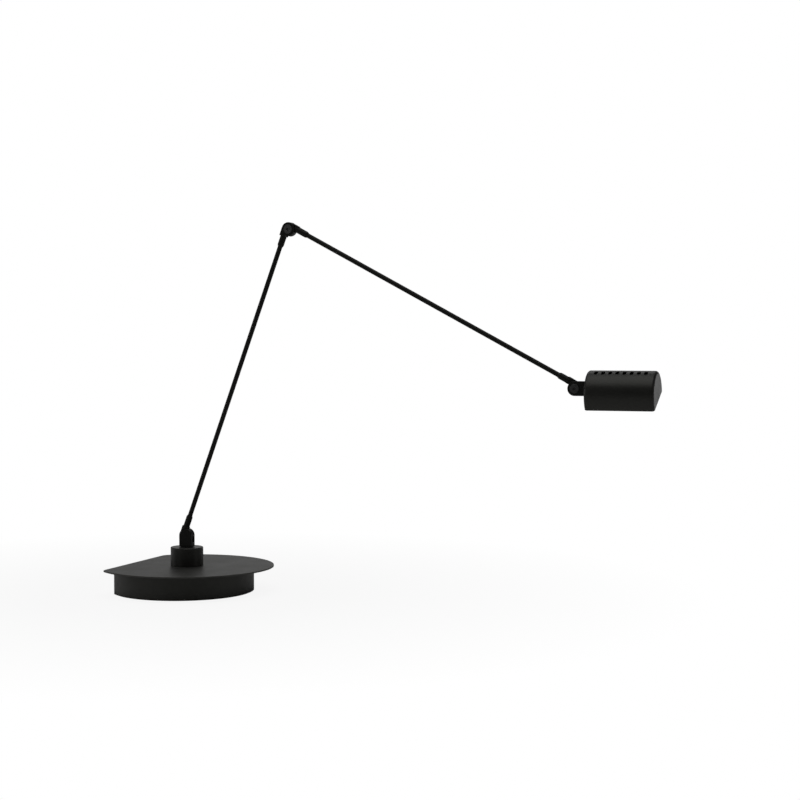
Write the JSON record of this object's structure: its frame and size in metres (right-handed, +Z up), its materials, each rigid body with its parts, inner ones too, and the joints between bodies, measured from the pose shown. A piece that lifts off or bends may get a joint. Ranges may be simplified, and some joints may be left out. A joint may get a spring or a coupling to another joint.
{
  "type": "balance desk lamp",
  "caption": "Desk lamp with a weighted D-shaped base, a swivelling fork, two slim jointed arms and a short vented cylinder head that tilts and rolls.",
  "frame": {"origin": "on the table, under the foot pad, on the swivel axis", "axes": "+Z up along the swivel axis; +X is the side that the arms and the head reach to at rest; the tilting joints turn about Y"},
  "size_m": [0.6159, 0.2, 0.4213],
  "materials": {
    "black_powder_coat": "satin",
    "zinc_plated_steel": "satin",
    "black_steel_fastener": "satin",
    "cast_iron": "matte",
    "foam_rubber": "matte",
    "black_plastic": "matte",
    "nylon": "satin",
    "bright_aluminium": "polished",
    "ceramic": "matte",
    "clear_glass": "gloss"
  },
  "bodies": {
    "base": {"top_plate": "black_powder_coat", "base_housing": "black_powder_coat", "bottom_cover": "zinc_plated_steel", "foot_pad": "foam_rubber", "ballast": "cast_iron", "power_supply": "black_plastic", "cord_inlet": "black_plastic", "inlet_nut": "zinc_plated_steel", "power_switch": "black_plastic", "switch_nut": "zinc_plated_steel", "cover_screws": "zinc_plated_steel", "ballast_screws": "zinc_plated_steel", "supply_screws": "zinc_plated_steel", "hub_collar": "black_powder_coat", "hub_bush": "nylon", "hub_screws": "zinc_plated_steel", "slip_washer": "nylon"},
    "button": {"switch_button": "black_plastic"},
    "fork": {"base_fork": "black_powder_coat", "tension_washer": "zinc_plated_steel", "swivel_nut": "zinc_plated_steel", "base_friction_washers": "nylon", "base_pivot_screw": "black_steel_fastener"},
    "lower_arm": {"lower_arm_foot": "black_powder_coat", "lower_arm_tube": "black_powder_coat", "elbow_fork": "black_powder_coat", "elbow_friction_washers": "nylon", "elbow_pivot_screw": "black_steel_fastener", "elbow_pivot_nut": "black_steel_fastener"},
    "upper_arm": {"upper_arm_root": "black_powder_coat", "upper_arm_tube": "black_powder_coat", "upper_arm_end": "black_powder_coat"},
    "neck": {"head_neck": "black_powder_coat", "head_friction_washers": "nylon", "head_pivot_screw": "black_steel_fastener", "head_pivot_nut": "black_steel_fastener", "neck_washer": "nylon", "neck_nut": "zinc_plated_steel"},
    "head": {"head_shell": "black_powder_coat", "head_cap": "black_powder_coat", "cap_screws": "black_steel_fastener", "glass_pane": "clear_glass", "reflector": "bright_aluminium", "lamp_holder": "ceramic", "bulb": "clear_glass", "holder_bracket": "zinc_plated_steel", "bracket_screws": "zinc_plated_steel"}
  },
  "joints": [
    {"name": "base_swivel", "type": "hinge", "parent": "base", "child": "fork", "pos_m": [0, 0, 0.04], "axis": [0, 0, 1], "range_deg": [-170, 170]},
    {"name": "lower_arm_tilt", "type": "hinge", "parent": "fork", "child": "lower_arm", "pos_m": [0, 0, 0.0644], "axis": [0, 1, 0], "range_deg": [-50, 20]},
    {"name": "elbow_tilt", "type": "hinge", "parent": "lower_arm", "child": "upper_arm", "pos_m": [0.12863, 0, 0.41345], "axis": [0, -1, 0], "range_deg": [-30, 60]},
    {"name": "head_tilt", "type": "hinge", "parent": "upper_arm", "child": "neck", "pos_m": [0.45678, 0, 0.23824], "axis": [0, -1, 0], "range_deg": [-75, 50]},
    {"name": "head_roll", "type": "hinge", "parent": "neck", "child": "head", "pos_m": [0.47679, 0, 0.23824], "axis": [1, 0, 0], "range_deg": [-110, 65]},
    {"name": "switch_press", "type": "slide", "parent": "base", "child": "button", "axis": [0.9995, -0.0314, 0], "range_m": [0, 0.0018], "stiffness_N_per_m": 800, "springref_m": -0.0006}
  ]
}
